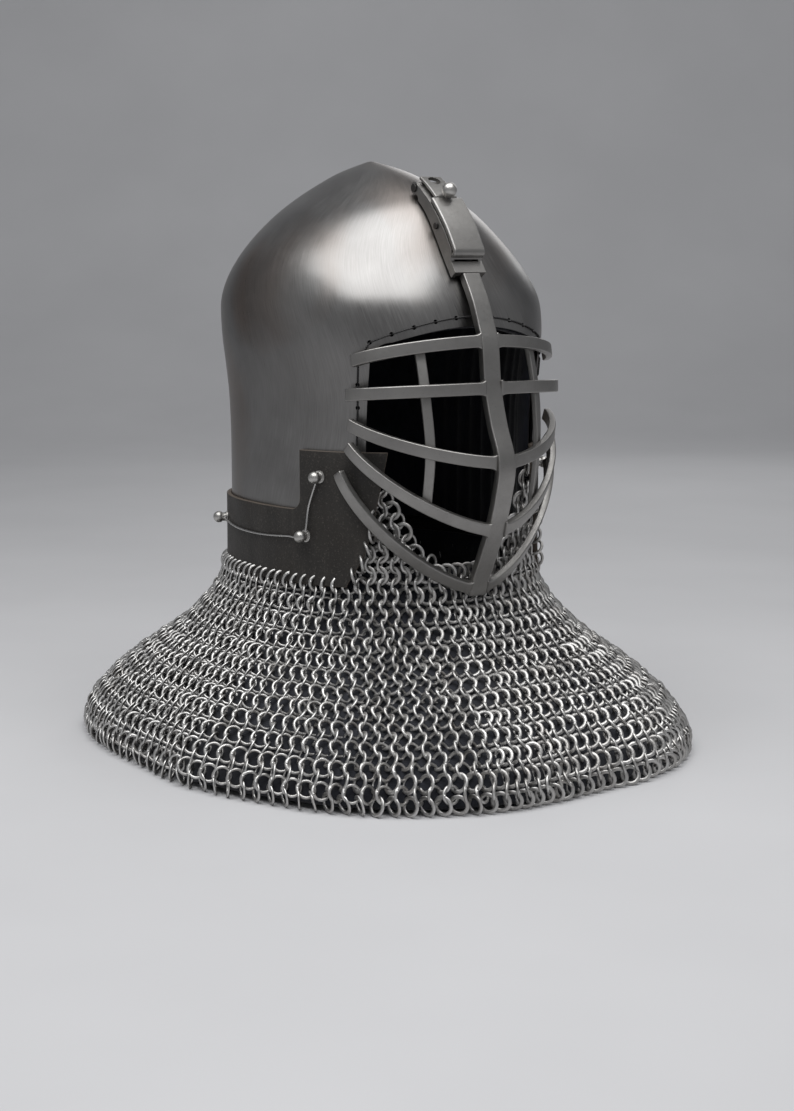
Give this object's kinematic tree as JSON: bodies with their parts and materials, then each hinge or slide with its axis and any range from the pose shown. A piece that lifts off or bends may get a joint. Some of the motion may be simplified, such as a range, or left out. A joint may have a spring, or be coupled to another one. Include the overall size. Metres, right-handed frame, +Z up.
{
  "type": "barred visor bascinet",
  "caption": "Domed steel helmet with a lifting barred visor hinged at the brow, a leather band on drilled studs, and a draped mail neck curtain.",
  "frame": {"origin": "middle of the flat rest plane under the mail hem", "axes": "face looks along -Y, wearer's right is -X, +Z up"},
  "size_m": [0.4107, 0.4744, 0.4223],
  "materials": {
    "polished_steel": "satin brushed",
    "visor_steel": "satin, softly worn",
    "stud_steel": "polished",
    "bolt_steel": "blackened",
    "wire_steel": "drawn wire",
    "mail_steel": "dark oiled, edges worn bright",
    "band_leather": "thick vegetable-tanned hide with raw edges",
    "quilting": "quilted dark cloth",
    "lining_cloth": "dark close-woven cloth",
    "thread": "waxed thread"
  },
  "bodies": {
    "helmet": {"skull": "polished_steel", "liner": "quilting", "leather_band": "band_leather", "vervelles": "stud_steel", "retaining_wire": "wire_steel", "lacing_thread": "thread", "mail_aventail": "mail_steel", "mail_lining": "lining_cloth", "hinge_base": "visor_steel", "hinge_base_rivets": "stud_steel", "hinge_pin": "stud_steel"},
    "visor": {"cover_plate": "visor_steel", "visor_arm": "visor_steel", "ball_stud": "stud_steel", "cross_bolt": "bolt_steel", "centre_bar": "visor_steel", "cross_bar_1": "visor_steel", "cross_bar_2": "visor_steel", "cross_bar_3": "visor_steel", "cross_bar_4": "visor_steel", "cross_bar_5": "visor_steel", "inner_bar_right": "visor_steel", "inner_bar_left": "visor_steel"}
  },
  "joints": [
    {"name": "visor_lift", "type": "hinge", "parent": "helmet", "child": "visor", "pos_m": [0, -0.06337, 0.40199], "axis": [-1, 0, 0], "range_deg": [0, 90]}
  ]
}
